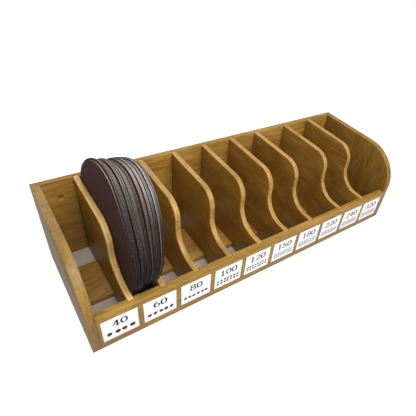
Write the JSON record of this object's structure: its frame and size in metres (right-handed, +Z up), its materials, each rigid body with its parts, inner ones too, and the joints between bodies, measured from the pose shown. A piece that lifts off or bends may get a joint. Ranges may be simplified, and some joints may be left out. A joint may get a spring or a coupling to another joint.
{
  "type": "sanding disc storage caddy",
  "caption": "Wooden desktop rack with divided upright compartments, a low labelled front rail and a fanned stack of sanding discs standing on edge in one compartment.",
  "frame": {"origin": "bottom centre of the whole, on the surface that the rack stands on", "axes": "+Z up, +X to the right along the rack's length, -Y towards the labelled front"},
  "size_m": [0.4696, 0.1592, 0.1735],
  "materials": {
    "end_panel_wood": "satin",
    "back_panel_wood": "satin",
    "rail_wood": "satin",
    "floor_wood": "satin",
    "divider_wood": "satin",
    "label_paper": "matte",
    "disc_backing": "matte",
    "pin_steel": "satin"
  },
  "bodies": {
    "caddy": {"left_end_panel": "end_panel_wood", "right_end_panel": "end_panel_wood", "back_panel": "back_panel_wood", "front_rail": "rail_wood", "floor_board": "floor_wood", "left_panel_pins": "pin_steel", "right_panel_pins": "pin_steel", "divider_1": "divider_wood", "divider_2": "divider_wood", "divider_3": "divider_wood", "divider_4": "divider_wood", "divider_5": "divider_wood", "divider_6": "divider_wood", "divider_7": "divider_wood", "divider_8": "divider_wood", "divider_9": "divider_wood", "label_40": "label_paper", "label_60": "label_paper", "label_80": "label_paper", "label_100": "label_paper", "label_120": "label_paper", "label_150": "label_paper", "label_180": "label_paper", "label_220": "label_paper", "label_240": "label_paper", "label_320": "label_paper"},
    "disc_pack_1": {"disc_1_1": "disc_backing", "disc_1_2": "disc_backing", "disc_1_3": "disc_backing", "disc_1_4": "disc_backing", "disc_1_5": "disc_backing"},
    "disc_pack_2": {"disc_2_1": "disc_backing", "disc_2_2": "disc_backing", "disc_2_3": "disc_backing", "disc_2_4": "disc_backing", "disc_2_5": "disc_backing"},
    "disc_pack_3": {"disc_3_1": "disc_backing", "disc_3_2": "disc_backing", "disc_3_3": "disc_backing", "disc_3_4": "disc_backing", "disc_3_5": "disc_backing"},
    "disc_pack_4": {"disc_4_1": "disc_backing", "disc_4_2": "disc_backing", "disc_4_3": "disc_backing", "disc_4_4": "disc_backing", "disc_4_5": "disc_backing"},
    "disc_pack_5": {"disc_5_1": "disc_backing", "disc_5_2": "disc_backing", "disc_5_3": "disc_backing", "disc_5_4": "disc_backing", "disc_5_5": "disc_backing"},
    "disc_pack_6": {"disc_6_1": "disc_backing", "disc_6_2": "disc_backing", "disc_6_3": "disc_backing", "disc_6_4": "disc_backing", "disc_6_5": "disc_backing"}
  },
  "joints": [
    {"name": "disc_pack_1_lift", "type": "slide", "parent": "caddy", "child": "disc_pack_1", "axis": [0.0262, 0, 0.9997], "range_m": [0, 0.16]},
    {"name": "disc_pack_2_lift", "type": "slide", "parent": "caddy", "child": "disc_pack_2", "axis": [0.0394, 0, 0.9992], "range_m": [0, 0.16]},
    {"name": "disc_pack_3_lift", "type": "slide", "parent": "caddy", "child": "disc_pack_3", "axis": [0.0526, 0, 0.9986], "range_m": [0, 0.16]},
    {"name": "disc_pack_4_lift", "type": "slide", "parent": "caddy", "child": "disc_pack_4", "axis": [0.0659, 0, 0.9978], "range_m": [0, 0.16]},
    {"name": "disc_pack_5_lift", "type": "slide", "parent": "caddy", "child": "disc_pack_5", "axis": [0.0791, 0, 0.9969], "range_m": [0, 0.16]},
    {"name": "disc_pack_6_lift", "type": "slide", "parent": "caddy", "child": "disc_pack_6", "axis": [0.0923, 0, 0.9957], "range_m": [0, 0.16]}
  ]
}
